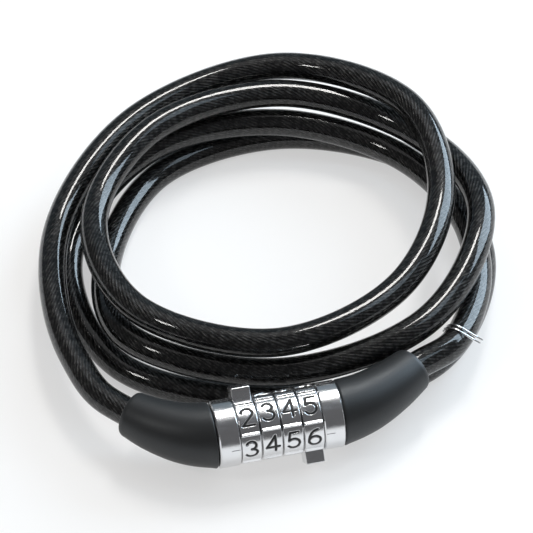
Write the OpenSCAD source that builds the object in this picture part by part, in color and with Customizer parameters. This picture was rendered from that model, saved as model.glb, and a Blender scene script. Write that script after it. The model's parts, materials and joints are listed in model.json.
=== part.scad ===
// A coiled cable lock: a sleeved wire rope whose two ends meet in a barrel of four number dials.
// The lock's axis runs along X, Z is up, the floor is z = 0 and the origin lies under the lock.

/* [Cable] */
// Outside diameter of the cable's clear sleeve
cable_d = 8; // [6:0.5:12]
// Share of the sleeve's diameter that the wire rope fills
rope_share = 0.62; // [0.5:0.02:0.8]
// Share of the diameter by which the cable is pressed flat on the floor
floor_flat = 0.1; // [0.05:0.01:0.15]
// Diameter of the wire that ties two turns together
tie_d = 0.6; // [0.5:0.1:1.5]
// Distance between the two strands of the tie
tie_step = 1.4; // [1:0.1:4]

/* [Barrel] */
// Diameter of the two collars
collar_d = 18.4; // [16:0.2:24]
// Width of each collar
collar_w = 5.8; // [4.5:0.1:9]
// Diameter of the tube that carries the dials
core_d = 10.8; // [10:0.1:12]
// Diameter of the bolt's rod
rod_d = 4.4; // [3.6:0.1:5]
// Width of each lug on the bolt
lug_w = 2; // [1.4:0.1:2.6]
// Length of each lug along the bolt
lug_l = 1.6; // [1:0.1:1.8]
// How far each lug stands out of the dial tube
lug_out = 0.9; // [0.6:0.1:1]
// Travel of the plug from locked to free
plug_travel = 30; // [25:1:40]
// Diameter of the pins that hold the barrel together
pin_d = 1.2; // [0.8:0.1:1.4]

/* [Dials] */
// Diameter over a dial's number tiles
dial_d = 18; // [16.5:0.1:23]
// Distance from one dial to the next
dial_pitch = 5.8; // [5.4:0.1:7]
// Gap between neighbouring dials
dial_gap = 0.4; // [0.3:0.05:0.6]
// Width of the web that blocks the lug
web_w = 2.4; // [1.8:0.1:2.6]
// Height of the ribs between the number tiles
rib_h = 0.3; // [0.1:0.05:0.6]
// Width of the ribs between the number tiles
rib_w = 0.9; // [0.5:0.1:1.5]
// Height of each dial's grip tab
tab_h = 3.1; // [1.5:0.1:4]
// Width of each grip tab round the dial
tab_w = 6.4; // [4:0.1:7.5]

/* [Boots] */
// Diameter of a boot at the barrel
boot_d = 18; // [15:0.2:24]
// Diameter of a boot where the cable leaves it
boot_tip_d = 12.6; // [11:0.2:15]
// Diameter of the ferrules crimped on the cable ends
ferrule_d = 10.6; // [10:0.1:11]

/* [Clearances] */
// Gap between pieces that move past each other
run_gap = 0.3; // [0.2:0.05:0.5]
// Play all round a turning or sliding fit
turn_fit = 0.05; // [0.02:0.01:0.1]
// Play all round a pressed fit
press_fit = 0.02; // [0:0.01:0.05]

/* [Hidden] */
$fn = 48;

// The lock's own box is centred on the origin
lock_at = [-1.2, -3.2];
axis_z = dial_d / 2 + tab_h + run_gap;
half = 2 * dial_pitch + collar_w;
dial_w = dial_pitch - dial_gap;
core_r = core_d / 2;
rod_r = rod_d / 2;
lug_r = core_r + lug_out;
groove_r = lug_r + 0.5;
bore_r = rod_r + turn_fit;
slot_w = lug_w + 2 * run_gap;
gate_w = lug_w + 1;
socket_r = ferrule_d / 2 + 0.2;
ferrule_r = ferrule_d / 2;
// Inner faces of the collars
face_x = half - collar_w;
// Where the lugs pass, and the spring opposite them
lug_at = 45;
spring_at = 225;
// Line on which the numbers are read, and how far each dial stands off it
read_at = 258;
set_off = [2.5, -1, -0.5, 1];
shown = [3, 4, 5, 6];

// Cable ends inside the ferrules, left and right
end_l = half - 3.4;
end_r = half - 2.2;
// Ferrule mouths
mouth_l = half + 2.6;
mouth_r = half + 5;
k = cable_d / 8;
cable_r = cable_d / 2;
rope_r = cable_r * rope_share;
coil_at = [19, 72];
// One turn is eight steps of [radius, height], from the left side round by the back
first_at = 166;
turns = [
  [63.6, 13.3], [58.8, 18.6], [59.8, 22.2], [52.4, 27.5], [45.2, 26], [45.8, 22.6], [51.4, 20.4], [55.2, 20],
  [53, 18.5], [50.3, 20.7], [50.8, 19.5], [53.4, 17.1], [56.6, 21.8], [57.2, 17.9], [55.1, 12.4], [59.4, 12.2],
  [49, 4.2], [48.8, 3.2], [50, 3.2], [55.2, 3.2], [57.6, 3.2], [60.5, 3.2], [56.6, 3.2], [63, 3.4],
  [60.4, 4.2], [51.8, 11.5], [46.8, 11.5], [48.9, 9.8], [54.2, 11.8]];
exit_l = [-half - 20.4, 12.6, axis_z + 0.7];
exit_r = [half + 23.9, 10, axis_z + 1.5];
route_l = [
  [-end_l, 0, axis_z],
  [-end_l - 4, 0, axis_z],
  [-end_l - 8, 0, axis_z],
  [-half - 12.2, 4.2, axis_z + 0.3],
  exit_l,
  [-half - 26.6, 21, axis_z + 0.5]];
route_k = [[-48.2, 36, 13.1], [-49, 61, 13]];
coil = [for (i = [0:len(turns) - 1])
  let (a = first_at - 45 * i)
  [coil_at[0] + turns[i][0] * cos(a), coil_at[1] + turns[i][0] * sin(a), turns[i][1]]];
route_m = [[69.4, 43.8, 11.8], [63.2, 29.2, 12], [54, 16.8, 12.9]];
route_r = [
  exit_r,
  [half + 17.4, 6, axis_z + 0.9],
  [half + 11, 2, axis_z + 0.3],
  [end_r + 8, 0, axis_z],
  [end_r + 4, 0, axis_z],
  [end_r, 0, axis_z]];
route = concat(route_l, route_k * k, coil * k, route_m * k, route_r);
last = len(route) - 1;

// A smooth curve through unevenly spaced points: its direction at point i
function unit(v) = v / norm(v);
function slope(p, i) =
  i == 0 ? unit(p[1] - p[0]) :
  i == len(p) - 1 ? unit(p[i] - p[i - 1]) :
  let (a = p[i] - p[i - 1], b = p[i + 1] - p[i], m = norm(a), n = norm(b))
  (a * n / m + b * m / n) / (m + n);
// Its place a share t of the way from point i to the next
function bow(p, i, t) =
  let (n = norm(p[i + 1] - p[i]), u = slope(p, i) * n, v = slope(p, i + 1) * n)
  p[i] * (2 * t * t * t - 3 * t * t + 1) + u * (t * t * t - 2 * t * t + t)
  + p[i + 1] * (3 * t * t - 2 * t * t * t) + v * (t * t * t - t * t);
// The stretch of the curve from point a to point b, n places to each step
function stretch(p, a, b, n) =
  concat([for (i = [a:b - 1], s = [0:n - 1]) bow(p, i, s / n)], [p[b]]);
// Directions along a list of places
function heading(p) = [for (i = [0:len(p) - 1])
  unit(p[min(i + 1, len(p) - 1)] - p[max(i - 1, 0)])];

// Rings round a line: n corners at radius r, none below the height low
function ring(p, d, r, n, up, low) =
  let (s = unit(cross(d, up)), u = cross(s, d))
  [for (j = [0:n - 1])
    let (q = p + r * (cos(360 * j / n) * s + sin(360 * j / n) * u)) [q[0], q[1], max(q[2], low)]];
function rings(p, r, n, up = [0, 0, 1], low = -1000) =
  let (d = heading(p)) [for (i = [0:len(p) - 1]) ring(p[i], d[i], r, n, up, low)];
// Faces of the skin over m rings of n corners, the first corner being number f
function skin(m, n, f, flip) = [for (i = [0:m - 2], j = [0:n - 1])
  let (a = f + i * n + j, b = f + i * n + (j + 1) % n, c = a + n, e = b + n)
  each (flip ? [[a, c, b], [b, c, e]] : [[a, b, c], [b, e, c]])];
function fan(n, f, flip) = [for (j = [1:n - 2])
  flip ? [f, f + j + 1, f + j] : [f, f + j, f + j + 1]];
function collar_face(n, f, g, flip) = [for (j = [0:n - 1])
  let (a = f + j, b = f + (j + 1) % n, c = g + j, e = g + (j + 1) % n)
  each (flip ? [[a, b, c], [b, e, c]] : [[a, c, b], [b, c, e]])];

module rod(rs) {
  n = len(rs[0]);
  m = len(rs);
  polyhedron([for (r = rs) each r],
    concat(skin(m, n, 0, false), fan(n, 0, true), fan(n, (m - 1) * n, false)));
}

module pipe(outer, inner) {
  n = len(outer[0]);
  a = len(outer);
  b = len(inner);
  polyhedron(concat([for (r = outer) each r], [for (r = inner) each r]),
    concat(skin(a, n, 0, false), skin(b, n, a * n, true),
      collar_face(n, 0, a * n, false), collar_face(n, (a - 1) * n, (a + b - 1) * n, true)));
}

// The cable's line: straight in the ferrules, elsewhere three rings to a step
line = concat([route[0], route[1]], stretch(route, 2, last - 2, 3), [route[last - 1], route[last]]);
lead_n = 2 + 3 * 6;
lead_end = line[lead_n] - run_gap * unit(line[lead_n + 1] - line[lead_n - 1]);
line_d = heading(line);
function lead_rings(r, low) = concat(
  [for (i = [0:lead_n - 1]) ring(line[i], line_d[i], r, 6, [0, 0, 1], low)],
  [ring(lead_end, line_d[lead_n], r, 6, [0, 0, 1], low)]);
function cable_rings(r, low) =
  [for (i = [lead_n:len(line) - 1]) ring(line[i], line_d[i], r, 6, [0, 0, 1], low)];

// Least gap between turns, from places along the line to the steps of every other turn
function to_step(q, a, b) =
  let (v = b - a, t = max(0, min(1, ((q - a) * v) / (v * v)))) norm(q - a - t * v);
fine = stretch(route, 2, last - 2, 9);
gap = min([for (i = [0:len(fine) - 1])
  min(concat([1000], [for (j = [i + 36:1:len(fine) - 2]) to_step(fine[i], fine[j], fine[j + 1])]))]) - cable_d;
steps = [for (i = [0:len(fine) - 2]) norm(fine[i + 1] - fine[i])];
function total(v) = v * [for (i = v) 1];
echo(least_gap = gap, cable_length = total(steps) + 16);

module place() {
  translate([lock_at[0], lock_at[1], 0]) children();
}

// Lays a piece drawn round Z along the lock's axis
module lay() {
  place() translate([0, 0, axis_z]) rotate([0, 90, 0]) children();
}

module bar_at(a, r0, r1, w, z0, z1) {
  rotate([0, 0, a]) translate([r0, -w / 2, z0]) cube([r1 - r0, w, z1 - z0]);
}

module pin_at(a, z, r0, r1, d) {
  translate([0, 0, z]) rotate([0, 0, a]) translate([r0, 0, 0])
    rotate([0, 90, 0]) cylinder(d = d, h = r1 - r0, $fn = 24);
}

module collar_shape() {
  rotate_extrude() polygon([[0, 0], [collar_d / 2 - 0.4, 0], [collar_d / 2, 0.4],
    [collar_d / 2, collar_w - 0.3], [collar_d / 2 - 0.3, collar_w], [0, collar_w]]);
}

module mark(z0, z1) {
  bar_at(read_at, collar_d / 2 - 0.5, collar_d / 2 + 0.15, 0.7, z0, z1);
}

module barrel_body() {
  color([0.75, 0.76, 0.78]) lay() difference() {
    union() {
      translate([0, 0, -half]) collar_shape();
      mark(-face_x - 2.7, -face_x - 0.4);
      translate([0, 0, -face_x - 0.5]) cylinder(r = core_r, h = 2 * face_x + 2.5);
    }
    translate([0, 0, -half - 1]) cylinder(r = socket_r, h = collar_w);
    translate([0, 0, -half - 1]) cylinder(r = bore_r, h = half + face_x + 1.4);
    bar_at(lug_at, 0, lug_r + run_gap, slot_w, -half - 1, face_x - 0.7);
    bar_at(spring_at, core_r - 1.1, core_r + 1, slot_w - 0.4, -face_x + 0.3, face_x - 0.3);
    pin_at(135, face_x + 1, core_r - 1.8, core_r + 1, pin_d + 2 * press_fit);
  }
}

module right_collar() {
  color([0.75, 0.76, 0.78]) lay() difference() {
    union() {
      translate([0, 0, half]) mirror([0, 0, 1]) collar_shape();
      mark(face_x + 0.4, face_x + 2.7);
    }
    translate([0, 0, face_x - 1]) cylinder(r = core_r + press_fit, h = 3.2);
    translate([0, 0, face_x + 2.1]) cylinder(r = ferrule_r + press_fit, h = collar_w);
    pin_at(135, face_x + 1, core_r - 1, collar_d / 2 - 0.4, pin_d + 2 * press_fit);
    pin_at(45, face_x + 3, ferrule_r - 1, collar_d / 2 - 0.4, pin_d + 2 * press_fit);
  }
}

module collar_pin() {
  color([0.6, 0.6, 0.62]) lay() pin_at(135, face_x + 1, core_r - 1.7, collar_d / 2 - 0.5, pin_d);
}

module washer_at(z, h) {
  translate([0, 0, z]) difference() {
    cylinder(r = lug_r + 0.2, h = h);
    translate([0, 0, -1]) cylinder(r = core_r + press_fit, h = h + 2);
  }
}

module spacer(i) {
  z = (i - 1.5) * dial_pitch + dial_w / 2 - 0.7;
  color([0.8, 0.7, 0.4]) lay() difference() {
    washer_at(z, 0.8);
    bar_at(lug_at, core_r - 1, lug_r + 1, gate_w, z - 1, z + 2);
  }
}

module spacer_1() {
  spacer(0);
}

module spacer_2() {
  spacer(1);
}

module spacer_3() {
  spacer(2);
}

module thrust_washer() {
  color([0.8, 0.7, 0.4]) lay() washer_at(face_x - 0.8, 0.5);
}

module detent_spring() {
  color([0.55, 0.56, 0.6]) lay() union() {
    bar_at(spring_at, core_r - 1.08, core_r - 0.68, slot_w - 0.5, -face_x + 0.4, face_x - 0.4);
    for (i = [0:3])
      rotate([0, 0, spring_at]) translate([core_r - 0.45, 0, (i - 1.5) * dial_pitch - dial_w / 2 + 0.4])
        cylinder(r = 0.4, h = web_w - 0.8, $fn = 24);
  }
}

// One dial: ribs between six tiles, a tab on the first tile, a gate and six dimples in the web
module dial(i) {
  z = (i - 1.5) * dial_pitch;
  r = dial_d / 2;
  b = core_r + turn_fit;
  w = dial_w / 2;
  turn = set_off[i];
  tab_at = read_at - 60 * (shown[i] - 1);
  color([0.8, 0.81, 0.83]) lay() translate([0, 0, z]) rotate([0, 0, turn]) difference() {
    union() {
      rotate_extrude() polygon([[b, -w], [r - 0.25, -w], [r, -w + 0.25], [r, w - 0.25], [r - 0.25, w],
        [groove_r, w], [groove_r, -w + web_w], [b, -w + web_w]]);
      for (j = [0:5]) bar_at(read_at + 30 + 60 * j, r - 0.6, r + rib_h, rib_w, -w + 0.15, w - 0.15);
      bar_at(tab_at, r - 0.8, r + tab_h, tab_w, -w + 0.1, w - 0.1);
    }
    bar_at(lug_at, core_r - 1, lug_r + run_gap, gate_w, -w - 1, -w + web_w + 1);
    for (j = [0:5]) rotate([0, 0, spring_at + 60 * j]) translate([core_r - 0.1, 0, -w - 1])
      cylinder(r = 0.7, h = web_w + 2, $fn = 24);
  }
}

module dial_1() {
  dial(0);
}

module dial_2() {
  dial(1);
}

module dial_3() {
  dial(2);
}

module dial_4() {
  dial(3);
}

module plug_bolt() {
  color([0.7, 0.7, 0.72]) lay() difference() {
    union() {
      translate([0, 0, -end_l]) cylinder(r = rod_r, h = end_l + face_x - 0.6);
      for (i = [0:3])
        bar_at(lug_at, 0, lug_r, lug_w, (i - 1.5) * dial_pitch - dial_w / 2 + web_w + run_gap,
          (i - 1.5) * dial_pitch - dial_w / 2 + web_w + run_gap + lug_l);
    }
    pin_at(135, -end_l + 0.6, -rod_r - 1, rod_r + 1, 0.6 + 2 * press_fit);
  }
}

module plug_ferrule() {
  color([0.65, 0.65, 0.67]) lay() difference() {
    translate([0, 0, -mouth_l]) cylinder(r = ferrule_r, h = mouth_l - end_l + 1.2);
    translate([0, 0, -mouth_l - 1]) cylinder(r = cable_r + turn_fit, h = mouth_l - end_l + 1);
    translate([0, 0, -end_l - 1]) cylinder(r = rod_r + press_fit, h = 4);
    pin_at(135, -end_l + 0.6, -ferrule_r - 1, ferrule_r + 1, 0.6 + 2 * press_fit);
  }
}

module plug_pin() {
  color([0.6, 0.6, 0.62]) lay() pin_at(135, -end_l + 0.6, 0.1 - ferrule_r, ferrule_r - 0.1, 0.6);
}

module anchor_ferrule() {
  color([0.65, 0.65, 0.67]) lay() difference() {
    translate([0, 0, face_x + 2.3]) cylinder(r = ferrule_r, h = mouth_r - face_x - 2.3);
    translate([0, 0, end_r]) cylinder(r = cable_r + turn_fit, h = mouth_r);
    pin_at(45, face_x + 3, 1, ferrule_r + 1, pin_d + 2 * press_fit);
  }
}

module anchor_pin() {
  color([0.6, 0.6, 0.62]) lay() pin_at(45, face_x + 3, 1.1, collar_d / 2 - 0.5, pin_d);
}

// A boot: a bent tapered skin over the ferrule's pocket and the cable's bore
function boot_skin(p, d0, n) = let (q = stretch(p, 0, len(p) - 1, 4), d = heading(q), m = len(q) - 1)
  [for (i = [0:m]) let (f = min(1, i / 6)) ring(q[i], unit(d0 * (1 - f) + d[i] * f),
    boot_d / 2 + (boot_tip_d - boot_d) / 2 * pow(i / m, 1.2), n, [0, 0, 1], -1000)];

module left_boot() {
  x0 = -half - run_gap;
  xm = -mouth_l - run_gap;
  d0 = [-1, 0, 0];
  skin_line = [[x0, 0, axis_z], [-half - 7.2, 2.4, axis_z + 0.1], [-half - 14.2, 6.8, axis_z + 0.4], exit_l];
  hole = stretch(route, 2, 4, 3);
  color([0.2, 0.2, 0.21]) place() pipe(boot_skin(skin_line, d0, 24), concat([
    ring([x0, 0, axis_z], d0, ferrule_r + 0.15, 24, [0, 0, 1], -1000),
    ring([xm, 0, axis_z], d0, ferrule_r + 0.15, 24, [0, 0, 1], -1000),
    ring([xm, 0, axis_z], d0, cable_r + 0.3, 24, [0, 0, 1], -1000)],
    rings(hole, cable_r + 0.3, 24)));
}

module right_boot() {
  x0 = half + 0.05;
  xm = mouth_r + run_gap;
  d0 = [1, 0, 0];
  skin_line = [[x0, 0, axis_z], [half + 7.8, 1.8, axis_z + 0.3], [half + 16.2, 5.4, axis_z + 0.9], exit_r];
  back = stretch(route, last - 5, last - 2, 3);
  hole = [for (i = [len(back) - 1:-1:0]) back[i]];
  color([0.2, 0.2, 0.21]) place() pipe(boot_skin(skin_line, d0, 24), concat([
    ring([x0, 0, axis_z], d0, ferrule_r + 0.15, 24, [0, 0, 1], -1000),
    ring([xm, 0, axis_z], d0, ferrule_r + 0.15, 24, [0, 0, 1], -1000),
    ring([xm, 0, axis_z], d0, cable_r + 0.3, 24, [0, 0, 1], -1000)],
    rings(hole, cable_r + 0.3, 24)));
}

module lead_sheath() {
  color([0.25, 0.26, 0.28]) place() pipe(lead_rings(cable_r, 0), lead_rings(rope_r + 0.1, 0));
}

module lead_core() {
  color([0.5, 0.5, 0.52]) place() rod(lead_rings(rope_r, 0));
}

module cable_sheath() {
  color([0.25, 0.26, 0.28]) place() pipe(cable_rings(cable_r, 0), cable_rings(rope_r + 0.1, 0));
}

module cable_core() {
  color([0.5, 0.5, 0.52]) place() rod(cable_rings(rope_r, 0));
}

// A hairpin of wire over the turn that runs up to the right boot
module tie_wire() {
  top = bow(route, last - 7, 0.8);
  d = unit([-0.72, -0.69, 0]);
  z = [0, 0, 1];
  s = cross(d, z);
  r = cable_r + tie_d / 2 + 0.2;
  tail = cable_d - 1;
  out = concat(
    [top + r * (cos(100) * s + sin(100) * z) - tail * (sin(100) * s - cos(100) * z)],
    [for (a = [100:-15:25]) top + r * (cos(a) * s + sin(a) * z)]);
  n = len(out) - 1;
  back = [for (i = [n:-1:0]) out[i]];
  t = unit(out[n] - out[n - 1]);
  side = cross(t, d);
  bend = [for (a = [30:30:150]) let (v = sin(a) * d + cos(a) * t)
    ring(out[n] + tie_step / 2 * (sin(a) * t - cos(a) * d), v, tie_d / 2, 8, cross(side, v), 0)];
  color([0.85, 0.86, 0.88]) place() rod(concat(
    rings([for (q = out) q - d * tie_step / 2], tie_d / 2, 8, up = d),
    bend,
    rings([for (q = back) q + d * tie_step / 2], tie_d / 2, 8, up = -d)));
}

barrel_body();
right_collar();
collar_pin();
spacer_1();
spacer_2();
spacer_3();
thrust_washer();
detent_spring();
dial_1();
dial_2();
dial_3();
dial_4();
plug_bolt();
plug_ferrule();
plug_pin();
left_boot();
lead_sheath();
lead_core();
anchor_ferrule();
anchor_pin();
right_boot();
cable_sheath();
cable_core();
tie_wire();
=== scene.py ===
import json
import math

import bpy
import numpy as np
from mathutils import Matrix, Vector


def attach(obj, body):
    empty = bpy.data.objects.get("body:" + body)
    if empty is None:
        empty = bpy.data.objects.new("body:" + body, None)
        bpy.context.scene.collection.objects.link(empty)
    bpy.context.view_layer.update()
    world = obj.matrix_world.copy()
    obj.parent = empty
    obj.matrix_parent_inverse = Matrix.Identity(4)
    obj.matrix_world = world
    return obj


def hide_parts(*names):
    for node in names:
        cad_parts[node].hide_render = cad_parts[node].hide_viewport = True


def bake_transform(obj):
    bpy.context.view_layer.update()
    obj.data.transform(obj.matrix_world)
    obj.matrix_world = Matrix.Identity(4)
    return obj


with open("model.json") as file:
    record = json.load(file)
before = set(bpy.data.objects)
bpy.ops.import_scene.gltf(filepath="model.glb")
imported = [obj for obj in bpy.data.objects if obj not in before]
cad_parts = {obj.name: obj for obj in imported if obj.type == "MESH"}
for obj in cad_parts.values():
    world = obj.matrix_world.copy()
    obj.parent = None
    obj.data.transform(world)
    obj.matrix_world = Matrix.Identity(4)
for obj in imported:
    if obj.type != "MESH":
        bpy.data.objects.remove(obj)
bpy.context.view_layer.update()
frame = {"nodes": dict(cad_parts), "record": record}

# Sizes and places in millimetres, as in the part's source, and angles in degrees
MM = 0.001
LOCK_AT = np.array([-1.2, -3.2, 0.0])
AXIS_Z = 12.4
HALF = 17.4
DIAL_R = 9.0
DIAL_BORE_R = 5.45
DIAL_PITCH = 5.8
DIAL_W = 5.4
DIAL_ROLL = 0.28
TILE = 60.0
# A rib's section: how far down from its line, and how high over the tiles
RIB_AT = [-0.4, -0.32, 0.33, 0.43, 0.58]
RIB_HIGH = [0.0, -0.08, 0.44, 0.42, 0.0]
TAB_H = 3.1
TAB_W = 6.4
TAB_SUNK = 0.8
TAB_ROUND = 0.4
# Where a number is read on the barrel, how far each dial is off it, and the number there
READ_AT = 258.0
SET_OFF = [2.5, -1.0, -0.5, 1.0]
SHOWN = [3, 4, 5, 6]
CABLE_R = 4.0
ROPE_R = 2.48
WIRES = 18
ROPE_LAY = 37.0
BOOT_R = 9.0
BOOT_TIP_R = 6.3
BOOT_BORE_R = CABLE_R + 0.3
BOOT_SOCKET_R = 5.5
TIE_R = 0.3
TIE_APART = 1.4
TIE_TAIL = 7.0
END_L = HALF - 3.4
END_R = HALF - 2.2
# The coil's middle, and its radius and height at every eighth of a turn
COIL_AT = (19.0, 72.0)
COIL_FROM = 166
COIL_STEP = 45
TURNS = [
    (63.6, 13.3), (58.8, 18.6), (59.8, 22.2), (52.4, 27.5),
    (45.2, 26), (45.8, 22.6), (51.4, 20.4), (55.2, 20),
    (53, 18.5), (50.3, 20.7), (50.8, 19.5), (53.4, 17.1),
    (56.6, 21.8), (57.2, 17.9), (55.1, 12.4), (59.4, 12.2),
    (49, 4.2), (48.8, 3.2), (50, 3.2), (55.2, 3.2),
    (57.6, 3.2), (60.5, 3.2), (56.6, 3.2), (63, 3.4),
    (60.4, 4.2), (51.8, 11.5), (46.8, 11.5), (48.9, 9.8),
    (54.2, 11.8),
]
# The cable from the plug's ferrule to the fixed one, with its ways out of the boots
EXIT_L = (-HALF - 20.4, 12.6, AXIS_Z + 0.7)
EXIT_R = (HALF + 23.9, 10, AXIS_Z + 1.5)
ROUTE = np.array(
    [
        (-END_L, 0, AXIS_Z),
        (-END_L - 4, 0, AXIS_Z),
        (-END_L - 8, 0, AXIS_Z),
        (-HALF - 12.2, 4.2, AXIS_Z + 0.3),
        EXIT_L,
        (-HALF - 26.6, 21, AXIS_Z + 0.5),
        (-48.2, 36, 13.1),
        (-49, 61, 13),
    ]
    + [
        (
            COIL_AT[0] + r * math.cos(math.radians(COIL_FROM - COIL_STEP * i)),
            COIL_AT[1] + r * math.sin(math.radians(COIL_FROM - COIL_STEP * i)),
            z,
        )
        for i, (r, z) in enumerate(TURNS)
    ]
    + [
        (69.4, 43.8, 11.8),
        (63.2, 29.2, 12),
        (54, 16.8, 12.9),
        EXIT_R,
        (HALF + 17.4, 6, AXIS_Z + 0.9),
        (HALF + 11, 2, AXIS_Z + 0.3),
        (END_R + 8, 0, AXIS_Z),
        (END_R + 4, 0, AXIS_Z),
        (END_R, 0, AXIS_Z),
    ],
    float,
)
LAST = len(ROUTE) - 1
LEAD_END = 8
UP = np.array([0.0, 0.0, 1.0])


def unit(v):
    return v / np.linalg.norm(v)


# The direction of a smooth curve through the points p, at point i
def slope(p, i):
    if i == 0:
        return unit(p[1] - p[0])
    if i == len(p) - 1:
        return unit(p[i] - p[i - 1])
    a, b = p[i] - p[i - 1], p[i + 1] - p[i]
    m, n = np.linalg.norm(a), np.linalg.norm(b)
    return (a * n / m + b * m / n) / (m + n)


# The curve between points i and i + 1, for t from 0 to 1
def bow(p, i, t):
    n = np.linalg.norm(p[i + 1] - p[i])
    u, v = slope(p, i) * n, slope(p, i + 1) * n
    return (
        p[i] * (2 * t**3 - 3 * t**2 + 1)
        + u * (t**3 - 2 * t**2 + t)
        + p[i + 1] * (3 * t**2 - 2 * t**3)
        + v * (t**3 - t**2)
    )


# The curve from point a to point b, in n steps from each point to the next
def stretch(p, a, b, n):
    return np.array([bow(p, i, s / n) for i in range(a, b) for s in range(n)] + [p[b]])


# A line at even steps, and the length along it
def evenly(p, step):
    d = np.concatenate([[0], np.cumsum(np.linalg.norm(np.diff(p, axis=0), axis=1))])
    s = np.linspace(0, d[-1], max(2, int(round(d[-1] / step)) + 1))
    return np.stack([np.interp(s, d, p[:, k]) for k in range(3)], 1), s


# The directions along, beside and above a line
def frames(p, up=UP):
    t = np.gradient(p, axis=0)
    t /= np.linalg.norm(t, axis=1)[:, None]
    side = np.cross(t, up)
    side /= np.linalg.norm(side, axis=1)[:, None]
    return t, side, np.cross(side, t)


def new_object(name, verts, faces):
    mesh = bpy.data.meshes.new(name)
    mesh.from_pydata([tuple(v) for v in (np.asarray(verts) + LOCK_AT) * MM], [], faces)
    mesh.update()
    mesh.polygons.foreach_set("use_smooth", [True] * len(mesh.polygons))
    obj = bpy.data.objects.new(name, mesh)
    bpy.context.scene.collection.objects.link(obj)
    return obj


# A skin over rings of corners, each ring a row of points
def skin(rings, cap_first=True, cap_last=True, flip=False):
    m, n = rings.shape[:2]
    faces = []
    for i in range(m - 1):
        for j in range(n):
            a, b = i * n + j, i * n + (j + 1) % n
            quad = (a, a + n, b + n, b)
            faces.append(quad[::-1] if flip else quad)
    if cap_first:
        first = tuple(range(n))
        faces.append(first[::-1] if flip else first)
    if cap_last:
        last = tuple(range((m - 1) * n, m * n))
        faces.append(last if flip else last[::-1])
    return rings.reshape(-1, 3), faces


# Round rings along a line, flattened where they would pass below low
def rings_round(p, radius, sides, up=UP, low=None):
    _, s, u = frames(p, up)
    a = 2 * np.pi * np.arange(sides) / sides
    r = p[:, None] + radius * (
        np.cos(a)[None, :, None] * s[:, None] + np.sin(a)[None, :, None] * u[:, None]
    )
    if low is not None:
        r[..., 2] = np.maximum(r[..., 2], low)
    return r


# Camera: turned by PSI, looking down by TILT, its focal length given in pixels of the frame
PSI, TILT, FAR = math.radians(13.6), math.radians(45.0), 1000.0
SENSOR, FOCAL_PX, HALF_FRAME_PX = 36.0, 3540.0, 266.5
AWAY = np.array([math.sin(PSI), math.cos(PSI), 0.0])
ACROSS = np.array([math.cos(PSI), -math.sin(PSI), 0.0])
LOOK = AWAY * math.cos(TILT) - UP * math.sin(TILT)
TARGET = np.array([11.60, 58.89, 12.7])
eye = (TARGET - LOOK * FAR + LOCK_AT) * MM
camera_data = bpy.data.cameras.new("camera")
camera_data.sensor_width = SENSOR
camera_data.lens = SENSOR / 2 * FOCAL_PX / HALF_FRAME_PX
camera_data.clip_start = 0.01
camera_data.clip_end = 50.0
camera = bpy.data.objects.new("camera", camera_data)
camera.location = Vector(eye)
camera.rotation_euler = Vector(LOOK).to_track_quat("-Z", "Y").to_euler()
bpy.context.scene.collection.objects.link(camera)
bpy.context.scene.camera = camera

# Cable: a clear sleeve over a twisted rope, in a coil and a short lead behind the plug
FINE = 64
PATH_STEP, SLEEVE_STEP, ROPE_STEP = 2.5, 1.25, 1.4
SLEEVE_SIDES, WIRE_SIDES = 40, 5
whole = stretch(ROUTE, 2, LAST - 2, FINE)
split = FINE * (LEAD_END - 2)
lead_run, coil_run = whole[: split + 1], whole[split:]


# The sleeve is open where the lead and the coil meet, at its first or its last ring
def sleeve(name, run, joint_first):
    rings = rings_round(evenly(run, SLEEVE_STEP)[0], CABLE_R, SLEEVE_SIDES, low=0.0)
    return new_object(name, *skin(rings, not joint_first, joint_first))


# The rope's outer wires, drawn as one fluted skin that turns along the rope
def rope(name, line, s):
    _, side, up = frames(line)
    sides = WIRES * WIRE_SIDES
    a = 2 * np.pi * np.arange(sides) / sides
    gap = np.pi / WIRES
    near = (a + gap) % (2 * gap) - gap
    wire = ROPE_R * math.sin(gap) / (1 + math.sin(gap))
    pitch = ROPE_R - wire
    r = pitch * np.cos(near) + np.sqrt(np.maximum(wire**2 - (pitch * np.sin(near)) ** 2, 0))
    turned = a[None, :] - (2 * np.pi * s / ROPE_LAY)[:, None]
    rings = line[:, None] + r[None, :, None] * (
        np.cos(turned)[..., None] * side[:, None] + np.sin(turned)[..., None] * up[:, None]
    )
    obj = new_object(name, *skin(rings, True, True))
    # The crest value, one on a wire's crest and nothing in the groove, carries the rope's
    # painted highlight and painted groove shade
    crest = obj.data.attributes.new("crest", "FLOAT", "POINT")
    crest.data.foreach_set("value", np.tile(1 - np.abs(near) / gap, len(s)).astype(np.float32))
    return obj


coil = sleeve("coil_sleeve", coil_run, True)
coil_rope = rope("coil_rope", *evenly(coil_run, ROPE_STEP))
lead = sleeve("lead_sleeve", lead_run, False)
lead_rope = rope("lead_rope", *evenly(lead_run, ROPE_STEP))


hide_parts("cable_sheath")
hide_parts("cable_core")
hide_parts("lead_sheath")
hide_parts("lead_core")
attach(coil, "barrel")
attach(coil_rope, "barrel")
for piece in (lead, lead_rope):
    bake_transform(piece)


# Boots: bent, tapered, with rounded rims and an open bore
BOOT_SIDES, BOOT_STEP, BORE_STEP, BOOT_FINE = 72, 0.5, 1.0, 12
RIM, TIP_LONG, TIP_DEEP = 0.5, 1.0, 0.9
RIM_RINGS, TIP_RINGS = 6, 7


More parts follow.
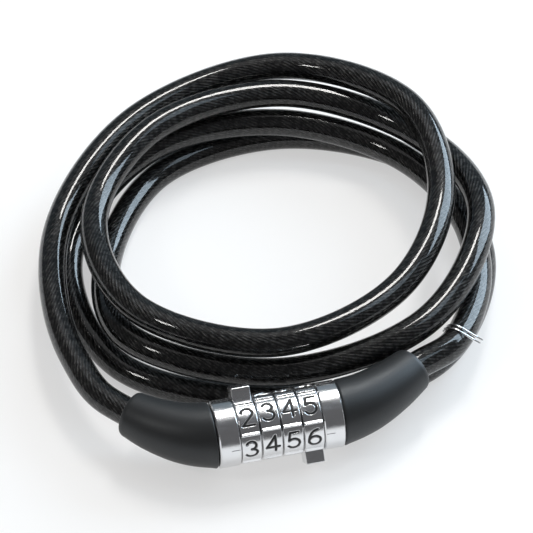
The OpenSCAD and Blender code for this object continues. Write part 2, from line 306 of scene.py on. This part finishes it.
def boot(name, line, first, hole, node, body):
    line, first = np.array(line, float), np.array(first, float)
    p, s = evenly(stretch(line, 0, len(line) - 1, BOOT_FINE), BOOT_STEP)
    q = s / s[-1]
    r = BOOT_R + (BOOT_TIP_R - BOOT_R) * q**1.2
    t = frames(p)[0]
    t[0] = first
    a = 2 * np.pi * np.arange(BOOT_SIDES) / BOOT_SIDES

    def ring(c, d, radius):
        x = unit(np.cross(d, UP))
        y = np.cross(x, d)
        return c + radius * (np.cos(a)[:, None] * x + np.sin(a)[:, None] * y)

    rows = []
    # The rim against the collar
    for k in range(RIM_RINGS + 1):
        b = math.radians(90 * k / RIM_RINGS)
        c = p[0] + first * RIM * (1 - math.cos(b))
        rows.append(ring(c, first, r[0] - RIM + RIM * math.sin(b)))
    # The body, which leaves the barrel straight and turns with its line over the first 4 mm
    begin = int(np.searchsorted(s, 0.8))
    stop = int(np.searchsorted(s, s[-1] - TIP_LONG))
    for i in range(begin, stop):
        mix = min(1.0, s[i] / 4.0)
        rows.append(ring(p[i], unit(first * (1 - mix) + t[i] * mix), r[i]))
    # The rounded tip
    for k in range(1, TIP_RINGS + 1):
        b = math.radians(90 * k / TIP_RINGS)
        c = p[-1] - t[-1] * TIP_LONG * (1 - math.sin(b))
        rows.append(ring(c, t[-1], r[-1] + 0.05 - TIP_DEEP * (1 - math.cos(b))))
    # The bore round the cable, back to the socket at the collar
    inner = evenly(hole, BORE_STEP)[0]
    it = frames(inner)[0]
    rows.append(ring(inner[-1], it[-1], BOOT_BORE_R + 0.05))
    for i in range(len(inner) - 2, -1, -1):
        rows.append(ring(inner[i], it[i], BOOT_BORE_R))
    rows.append(ring(line[0], first, BOOT_SOCKET_R))
    rows.append(rows[0])
    obj = new_object(name, *skin(np.array(rows), False, False))
    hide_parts(node)
    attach(obj, body)
    return obj


boot_l = boot(
    "plug_boot",
    [
        (-HALF - 0.3, 0, AXIS_Z),
        (-HALF - 7.2, 2.4, AXIS_Z + 0.1),
        (-HALF - 14.2, 6.8, AXIS_Z + 0.4),
        EXIT_L,
    ],
    (-1, 0, 0),
    stretch(ROUTE, 2, 4, BOOT_FINE),
    "left_boot",
    "plug",
)
boot_r = boot(
    "anchor_boot",
    [
        (HALF + 0.05, 0, AXIS_Z),
        (HALF + 7.8, 1.8, AXIS_Z + 0.3),
        (HALF + 16.2, 5.4, AXIS_Z + 0.9),
        EXIT_R,
    ],
    (1, 0, 0),
    stretch(ROUTE, LAST - 5, LAST - 2, BOOT_FINE)[::-1],
    "right_boot",
    "barrel",
)


# Places on the barrel: along the axis, by angle and radius
def on_barrel(x, degrees, r):
    b = np.radians(degrees)
    across = np.broadcast_to(x, np.shape(b))
    return np.stack([across, r * np.sin(b), AXIS_Z - r * np.cos(b)], -1)


# Numbers as strokes in a box one high; the tab stands on number 1
def arc(x, y, rx, ry, a, b, n=16):
    q = np.radians(np.linspace(a, b, n))
    return [(x + rx * math.cos(v), y + ry * math.sin(v)) for v in q]


NUMBERS = {
    2: [arc(0.32, 0.72, 0.29, 0.28, 170, -35, 18) + [(0.02, 0.0), (0.64, 0.0)]],
    3: [arc(0.31, 0.755, 0.25, 0.245, 155, -88, 18) + arc(0.31, 0.26, 0.3, 0.26, 88, -155, 18)],
    4: [[(0.47, 0.0), (0.47, 1.0), (0.0, 0.3), (0.66, 0.3)]],
    5: [[(0.58, 1.0), (0.14, 1.0), (0.08, 0.53)] + arc(0.31, 0.31, 0.31, 0.31, 128, -150, 20)],
    6: [
        arc(0.32, 0.3, 0.3, 0.3, 0, 360, 28),
        [(0.025, 0.36), (0.06, 0.6), (0.17, 0.83), (0.33, 0.95), (0.5, 1.0)],
    ],
}
TALL, WIDE, LEFT = 4.9, 1.09, 0.36
CUT_DEEP = 0.3
# From a stroke's middle line: where the cut's wall begins and ends, and where the ink fades
CUT_FROM, CUT_TO = 0.24, 0.42
INK_FROM, INK_TO = 0.3, 0.36
FAR_OFF = 1e3


def stroke_distance(u, v, strokes):
    best = np.full(u.shape, FAR_OFF)
    for line in strokes:
        for (x0, y0), (x1, y1) in zip(line[:-1], line[1:]):
            dx, dy = x1 - x0, y1 - y0
            t = np.clip(((u - x0) * dx + (v - y0) * dy) / (dx * dx + dy * dy + 1e-12), 0, 1)
            best = np.minimum(best, np.hypot(u - x0 - t * dx, v - y0 - t * dy))
    return best


def smooth_step(e0, e1, x):
    t = np.clip((x - e0) / (e1 - e0), 0, 1)
    return t * t * (3 - 2 * t)


# An angle as the short way round, from -180 to 180
def turned_by(degrees):
    return (degrees + 180.0) % 360.0 - 180.0


# One dial: tiles with cut numbers, ribs between them, rolled edges, and a tab on the first tile
def dial(i):
    middle = (i - 1.5) * DIAL_PITCH
    read = READ_AT + SET_OFF[i]
    half = DIAL_W / 2
    cols = 62
    count = 600
    x = np.linspace(-half, half, cols)
    degrees = np.arange(count) * 360.0 / count
    X, D = np.meshgrid(x, degrees, indexing="ij")
    r = np.full(X.shape, DIAL_R)
    ink = np.zeros(X.shape)
    for number in range(1, 7):
        at = read + TILE * (number - SHOWN[i])
        off = turned_by(D - at)
        down = np.radians(turned_by(off - TILE / 2)) * DIAL_R
        ends = 1 - smooth_step(half - 0.3, half - 0.15, np.abs(X))
        r += np.interp(down, RIB_AT, RIB_HIGH) * ends
        if number in NUMBERS:
            inside = np.abs(off) < TILE / 2 - 1
            u = (X + LEFT * TALL) / (WIDE * TALL)
            v = (-np.radians(off) * DIAL_R + 0.5 * TALL) / TALL
            d = np.full(X.shape, FAR_OFF)
            d[inside] = stroke_distance(u[inside], v[inside], NUMBERS[number]) * TALL
            r -= CUT_DEEP * (1 - smooth_step(CUT_FROM, CUT_TO, d))
            ink = np.maximum(ink, 1 - smooth_step(INK_FROM, INK_TO, d))
    edge = 1 - np.clip((half - np.abs(X)) / DIAL_ROLL, 0, 1)
    r -= DIAL_ROLL * (1 - np.sqrt(np.clip(1 - edge**2, 0, 1)))
    outer = on_barrel(X + middle, D, r)
    bore = [on_barrel(middle + x, degrees, np.full(count, DIAL_BORE_R)) for x in (half, -half)]
    rows = np.concatenate([outer, np.array(bore), outer[:1]])
    obj = new_object(f"number_dial_{i + 1}", *skin(rows, False, False, flip=True))
    layer = obj.data.attributes.new("ink", "FLOAT", "POINT")
    values = np.concatenate([ink.reshape(-1), np.zeros(3 * count)])
    layer.data.foreach_set("value", values.astype(np.float32))
    # The grip tab, a block with rounded edges standing on the first tile
    at = math.radians(read + TILE * (1 - SHOWN[i]))
    out = np.array([0, math.sin(at), -math.cos(at)])
    turn = np.array([0, -math.cos(at), -math.sin(at)])
    bpy.ops.mesh.primitive_cube_add(size=1)
    tab = bpy.context.object
    tab.name = f"grip_tab_{i + 1}"
    low, high = DIAL_R - TAB_SUNK, DIAL_R + TAB_H
    size = np.array([DIAL_W - 0.2, TAB_W, high - low]) * MM
    centre = np.array([middle, 0, AXIS_Z]) + out * (low + high) / 2 + LOCK_AT
    basis = Matrix(np.stack([np.array([1.0, 0, 0]), turn, out], 1).tolist()).to_4x4()
    tab.data.transform(Matrix.Diagonal((*size, 1)))
    tab.data.transform(Matrix.Translation(Vector(centre * MM)) @ basis)
    bevel = tab.modifiers.new("round", "BEVEL")
    bevel.width = TAB_ROUND * MM
    bevel.segments = 4
    bpy.ops.object.modifier_apply(modifier="round")
    tab.data.polygons.foreach_set("use_smooth", [True] * len(tab.data.polygons))
    weights = tab.modifiers.new("even", "WEIGHTED_NORMAL")
    weights.keep_sharp = False
    body = ("dial_a", "dial_b", "dial_c", "dial_d")[i]
    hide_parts(f"dial_{i + 1}")
    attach(obj, body)
    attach(tab, body)
    return obj, tab


dials = [dial(i) for i in range(4)]


# Tie: a hairpin of wire over the turn that runs up to the right boot
def tie():
    top = bow(ROUTE, LAST - 7, 0.8)
    d = unit(np.array([-0.72, -0.69, 0.0]))
    s = np.cross(d, UP)
    r = CABLE_R + 0.4
    leaves, ends = 100, 24
    apart = TIE_APART / 2

    def at(degrees):
        b = math.radians(degrees)
        return top + r * (math.cos(b) * s + math.sin(b) * UP)

    b = math.radians(leaves)
    leg = [at(leaves) - TIE_TAIL * (math.sin(b) * s - math.cos(b) * UP)]
    leg += [at(a) for a in range(leaves, ends, -5)]
    t = unit(leg[-1] - leg[-2])
    bend = []
    for a in range(15, 180, 15):
        b = math.radians(a)
        bend.append(leg[-1] + apart * (math.sin(b) * t - math.cos(b) * d))
    line = [q - apart * d for q in leg] + bend + [q + apart * d for q in leg[::-1]]
    rings = rings_round(np.array(line), TIE_R, 12, up=unit(np.cross(t, d)))
    obj = new_object("tie_wire_shown", *skin(rings))
    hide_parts("tie_wire")
    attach(obj, "barrel")
    return obj


tie_obj = tie()


# Materials
def material(name):
    m = bpy.data.materials.new(name)
    m.use_nodes = True
    nodes, links = m.node_tree.nodes, m.node_tree.links
    return m, nodes, links, nodes["Principled BSDF"], nodes["Material Output"]


# Noise over the object's own coordinates
def noise(nodes, links, scale, detail=4.0, stretch_by=None):
    where = nodes.new("ShaderNodeTexCoord")
    tex = nodes.new("ShaderNodeTexNoise")
    tex.inputs["Scale"].default_value = scale
    tex.inputs["Detail"].default_value = detail
    if stretch_by:
        mapping = nodes.new("ShaderNodeMapping")
        mapping.inputs["Scale"].default_value = stretch_by
        links.new(where.outputs["Object"], mapping.inputs["Vector"])
        links.new(mapping.outputs["Vector"], tex.inputs["Vector"])
    else:
        links.new(where.outputs["Object"], tex.inputs["Vector"])
    return tex


# A value between a and b, spread from low to high
def ranged(nodes, links, source, low, high, a=0.3, b=0.7):
    m = nodes.new("ShaderNodeMapRange")
    m.inputs["From Min"].default_value = a
    m.inputs["From Max"].default_value = b
    m.inputs["To Min"].default_value = low
    m.inputs["To Max"].default_value = high
    links.new(source, m.inputs["Value"])
    return m.outputs["Result"]


# A colour between two colours
def blended(nodes, links, factor, a, b):
    mix = nodes.new("ShaderNodeMix")
    mix.data_type = "RGBA"
    mix.inputs["A"].default_value = (*a, 1)
    mix.inputs["B"].default_value = (*b, 1)
    links.new(factor, mix.inputs["Factor"])
    return mix


def bumped(nodes, links, source, strength, distance):
    b = nodes.new("ShaderNodeBump")
    b.inputs["Strength"].default_value = strength
    b.inputs["Distance"].default_value = distance
    links.new(source, b.inputs["Height"])
    return b.outputs["Normal"]


# Plated or machined metal, with black paint in the cuts where ink is set
INK = (0.012, 0.012, 0.013)
INK_ROUGH = 0.5


def plated(name, tone, rough, ink=False):
    m, nodes, links, bsdf, _ = material(name)
    bsdf.inputs["Metallic"].default_value = 1.0
    fine = noise(nodes, links, 900.0, 6.0, (0.25, 1.0, 1.0))
    cloud = noise(nodes, links, 160.0, 4.0)
    dull = (tone * 0.88, tone * 0.89, tone * 0.91)
    bright = (tone, tone, tone * 1.01)
    shade = blended(nodes, links, cloud.outputs["Fac"], dull, bright)
    colour = shade.outputs["Result"]
    roughness = ranged(nodes, links, fine.outputs["Fac"], rough * 0.75, rough * 1.3)
    if ink:
        layer = nodes.new("ShaderNodeAttribute")
        layer.attribute_name = "ink"
        mix = blended(nodes, links, layer.outputs["Fac"], bright, INK)
        links.new(colour, mix.inputs["A"])
        colour = mix.outputs["Result"]
        metal = nodes.new("ShaderNodeMath")
        metal.operation = "SUBTRACT"
        metal.inputs[0].default_value = 1.0
        links.new(layer.outputs["Fac"], metal.inputs[1])
        links.new(metal.outputs["Value"], bsdf.inputs["Metallic"])
        rough_mix = nodes.new("ShaderNodeMix")
        rough_mix.inputs["B"].default_value = INK_ROUGH
        links.new(layer.outputs["Fac"], rough_mix.inputs["Factor"])
        links.new(roughness, rough_mix.inputs["A"])
        roughness = rough_mix.outputs["Result"]
    links.new(colour, bsdf.inputs["Base Color"])
    links.new(roughness, bsdf.inputs["Roughness"])
    links.new(bumped(nodes, links, fine.outputs["Fac"], 0.05, 0.00005), bsdf.inputs["Normal"])
    return m


# Clear smoke-black vinyl, which lets some light through to the rope and the floor
def vinyl():
    m, nodes, links, bsdf, out = material("smoke vinyl")
    bsdf.inputs["Transmission Weight"].default_value = 1.0
    bsdf.inputs["IOR"].default_value = 1.5
    cloud = noise(nodes, links, 220.0, 3.0)
    fac = cloud.outputs["Fac"]
    shade = blended(nodes, links, fac, (0.052, 0.051, 0.05), (0.066, 0.065, 0.064))
    links.new(shade.outputs["Result"], bsdf.inputs["Base Color"])
    links.new(ranged(nodes, links, fac, 0.06, 0.085), bsdf.inputs["Roughness"])
    path = nodes.new("ShaderNodeLightPath")
    clear = nodes.new("ShaderNodeBsdfTransparent")
    clear.inputs["Color"].default_value = (0.25, 0.25, 0.26, 1)
    mix = nodes.new("ShaderNodeMixShader")
    links.new(path.outputs["Is Shadow Ray"], mix.inputs["Fac"])
    links.new(bsdf.outputs["BSDF"], mix.inputs[1])
    links.new(clear.outputs["BSDF"], mix.inputs[2])
    links.new(mix.outputs["Shader"], out.inputs["Surface"])
    return m


# The rope's wires, with painted shade in the grooves and a painted highlight in patches along
# their crests
def stranded():
    m, nodes, links, bsdf, _ = material("wire rope")
    crest = nodes.new("ShaderNodeAttribute")
    crest.attribute_name = "crest"
    patch_noise = noise(nodes, links, 700.0, 4.0).outputs["Fac"]
    crest_highlight = nodes.new("ShaderNodeMath")
    crest_highlight.operation = "MULTIPLY"
    links.new(crest.outputs["Fac"], crest_highlight.inputs[0])
    links.new(ranged(nodes, links, patch_noise, 0.1, 1.0, 0.42, 0.62), crest_highlight.inputs[1])
    # Painted groove shade and painted crest highlight, mixed by the crest value and patchy
    # noise
    groove_shade, bright = (0.095, 0.094, 0.092), (0.6, 0.585, 0.565)
    shade = blended(nodes, links, crest_highlight.outputs["Value"], groove_shade, bright)
    links.new(shade.outputs["Result"], bsdf.inputs["Base Color"])
    bsdf.inputs["Metallic"].default_value = 0.85
    links.new(ranged(nodes, links, patch_noise, 0.3, 0.5), bsdf.inputs["Roughness"])
    links.new(bumped(nodes, links, patch_noise, 0.1, 0.0001), bsdf.inputs["Normal"])
    return m


# Matte black plastic with a fine grain
def moulded():
    m, nodes, links, bsdf, _ = material("matte boot")
    grain = noise(nodes, links, 2200.0, 4.0).outputs["Fac"]
    cloud = noise(nodes, links, 90.0, 3.0).outputs["Fac"]
    shade = blended(nodes, links, cloud, (0.012, 0.0122, 0.0122), (0.017, 0.0172, 0.0172))
    links.new(shade.outputs["Result"], bsdf.inputs["Base Color"])
    links.new(ranged(nodes, links, grain, 0.4, 0.5), bsdf.inputs["Roughness"])
    bsdf.inputs["Specular IOR Level"].default_value = 0.5
    bsdf.inputs["Specular Tint"].default_value = (0.92, 0.96, 1.0, 1)
    links.new(bumped(nodes, links, grain, 0.3, 0.00008), bsdf.inputs["Normal"])
    return m


dial_metal = plated("plated dial", 0.80, 0.2, ink=True)
tab_metal = plated("plated tab", 0.78, 0.2)
collar_metal = plated("plated collar", 0.80, 0.2)
inner_steel = plated("machined steel", 0.6, 0.32)
brass = plated("stamped brass", 0.6, 0.35)
wire_metal = plated("bright wire", 0.9, 0.12)
smoke = vinyl()
rope_metal = stranded()
boot_plastic = moulded()


def dress(obj, m):
    obj.data.materials.clear()
    obj.data.materials.append(m)


for obj in (coil, lead):
    dress(obj, smoke)
for obj in (coil_rope, lead_rope):
    dress(obj, rope_metal)
for obj in (boot_l, boot_r):
    dress(obj, boot_plastic)
for obj, tab in dials:
    dress(obj, dial_metal)
    dress(tab, tab_metal)
dress(tie_obj, wire_metal)
# The solids of the source that show as they are, by their material slot
FINISH = {
    "plated_metal": collar_metal,
    "inner_steel": inner_steel,
    "ferrule_metal": inner_steel,
    "washer_brass": brass,
}
slots = {s["node"]: s["material_slot"] for s in frame["record"]["subparts"]}
for name, obj in frame["nodes"].items():
    m = FINISH.get(slots.get(name))
    if m is not None:
        for k in range(len(obj.material_slots)):
            obj.material_slots[k].material = m

# Floor: part its own colour with its shadows, part white to the camera, metal and glass
FLOOR_SIZE, FLOOR_Z, FLOOR_WHITE = 8.0, -0.00003, 0.5
bpy.ops.mesh.primitive_plane_add(size=FLOOR_SIZE, location=(0, 0, FLOOR_Z))
floor = bpy.context.object
floor.name = "floor"
m, nodes, links, bsdf, out = material("pale floor")
cloud = noise(nodes, links, 30.0, 3.0)
shade = blended(nodes, links, cloud.outputs["Fac"], (0.86, 0.86, 0.86), (0.88, 0.88, 0.88))
links.new(shade.outputs["Result"], bsdf.inputs["Base Color"])
bsdf.inputs["Roughness"].default_value = 0.9
bsdf.inputs["Specular IOR Level"].default_value = 0.0
glow = nodes.new("ShaderNodeEmission")
glow.inputs["Color"].default_value = (1, 1, 1, 1)
seen = nodes.new("ShaderNodeLightPath")
either = nodes.new("ShaderNodeMath")
either.operation = "ADD"
links.new(seen.outputs["Is Camera Ray"], either.inputs[0])
links.new(seen.outputs["Is Glossy Ray"], either.inputs[1])
any_of = nodes.new("ShaderNodeMath")
any_of.operation = "ADD"
any_of.use_clamp = True
links.new(either.outputs["Value"], any_of.inputs[0])
links.new(seen.outputs["Is Transmission Ray"], any_of.inputs[1])
lifted = nodes.new("ShaderNodeMath")
lifted.operation = "MULTIPLY"
lifted.inputs[1].default_value = FLOOR_WHITE
links.new(any_of.outputs["Value"], lifted.inputs[0])
paled = nodes.new("ShaderNodeMixShader")
links.new(lifted.outputs["Value"], paled.inputs["Fac"])
links.new(bsdf.outputs["BSDF"], paled.inputs[1])
links.new(glow.outputs["Emission"], paled.inputs[2])
links.new(paled.outputs["Shader"], out.inputs["Surface"])
dress(floor, m)

# Lights, set out from the middle of the coil as the camera sees it, in metres
MIDDLE = (np.array([10.0, 50.0, 10.0]) + LOCK_AT) * MM
WARM, WHITE, SKY = (1.0, 0.985, 0.96), (1.0, 1.0, 1.0), (0.70, 0.86, 1.0)


def softbox(name, across, away, high, wide, deep, strength, colour):
    place = MIDDLE + (ACROSS * across + AWAY * away) + UP * high
    data = bpy.data.lights.new(name, "AREA")
    data.shape = "RECTANGLE"
    data.size = wide
    data.size_y = deep
    data.energy = strength * math.pi * wide * deep
    data.color = colour
    obj = bpy.data.objects.new(name, data)
    obj.location = Vector(place)
    to = Vector(MIDDLE - place)
    x = Vector(ACROSS)
    z = -to.normalized()
    y = z.cross(x).normalized()
    x = y.cross(z).normalized()
    obj.rotation_euler = Matrix((x, y, z)).transposed().to_euler()
    bpy.context.scene.collection.objects.link(obj)


softbox("main lamp", 0.13, 0.49, 0.95, 0.2, 0.38, 19.5, WARM)
softbox("bright ceiling", 0.0, 0.45, 1.0, 1.3, 0.8, 0.45, WHITE)
softbox("right window", 0.78, 0.6, 0.5, 0.8, 0.7, 7.5, SKY)
softbox("right fill", 0.55, 0.02, 0.85, 0.4, 0.4, 2.2, SKY)
softbox("left lamp", -0.64, -0.37, 0.75, 0.16, 0.16, 15.0, (1.0, 0.99, 0.97))

# Surroundings: a dim room in reflections, paler ahead, an even fill, and white to the camera
world = bpy.data.worlds.new("room")
bpy.context.scene.world = world
world.use_nodes = True
nodes, links = world.node_tree.nodes, world.node_tree.links
nodes.clear()
where = nodes.new("ShaderNodeTexCoord")
ahead = nodes.new("ShaderNodeVectorMath")
ahead.operation = "DOT_PRODUCT"
ahead.inputs[1].default_value = tuple(AWAY)
links.new(where.outputs["Generated"], ahead.inputs[0])
ramp = nodes.new("ShaderNodeValToRGB")
ramp.color_ramp.elements[0].position = 0.78
ramp.color_ramp.elements[0].color = (0.13, 0.13, 0.134, 1)
ramp.color_ramp.elements[1].position = 0.88
ramp.color_ramp.elements[1].color = (0.18, 0.22, 0.25, 1)
half_up = nodes.new("ShaderNodeMath")
half_up.operation = "MULTIPLY_ADD"
half_up.inputs[1].default_value = 0.5
half_up.inputs[2].default_value = 0.5
links.new(ahead.outputs["Value"], half_up.inputs[0])
links.new(half_up.outputs["Value"], ramp.inputs["Fac"])
room = nodes.new("ShaderNodeBackground")
links.new(ramp.outputs["Color"], room.inputs["Color"])
fill = nodes.new("ShaderNodeBackground")
fill.inputs["Color"].default_value = (0.4, 0.39, 0.38, 1)
white = nodes.new("ShaderNodeBackground")
white.inputs["Color"].default_value = (1, 1, 1, 1)
seen = nodes.new("ShaderNodeLightPath")
soft = nodes.new("ShaderNodeMixShader")
links.new(seen.outputs["Is Diffuse Ray"], soft.inputs["Fac"])
links.new(room.outputs["Background"], soft.inputs[1])
links.new(fill.outputs["Background"], soft.inputs[2])
pick = nodes.new("ShaderNodeMixShader")
links.new(seen.outputs["Is Camera Ray"], pick.inputs["Fac"])
links.new(soft.outputs["Shader"], pick.inputs[1])
links.new(white.outputs["Background"], pick.inputs[2])
sky = nodes.new("ShaderNodeOutputWorld")
links.new(pick.outputs["Shader"], sky.inputs["Surface"])

bpy.context.scene.view_settings.view_transform = "Standard"
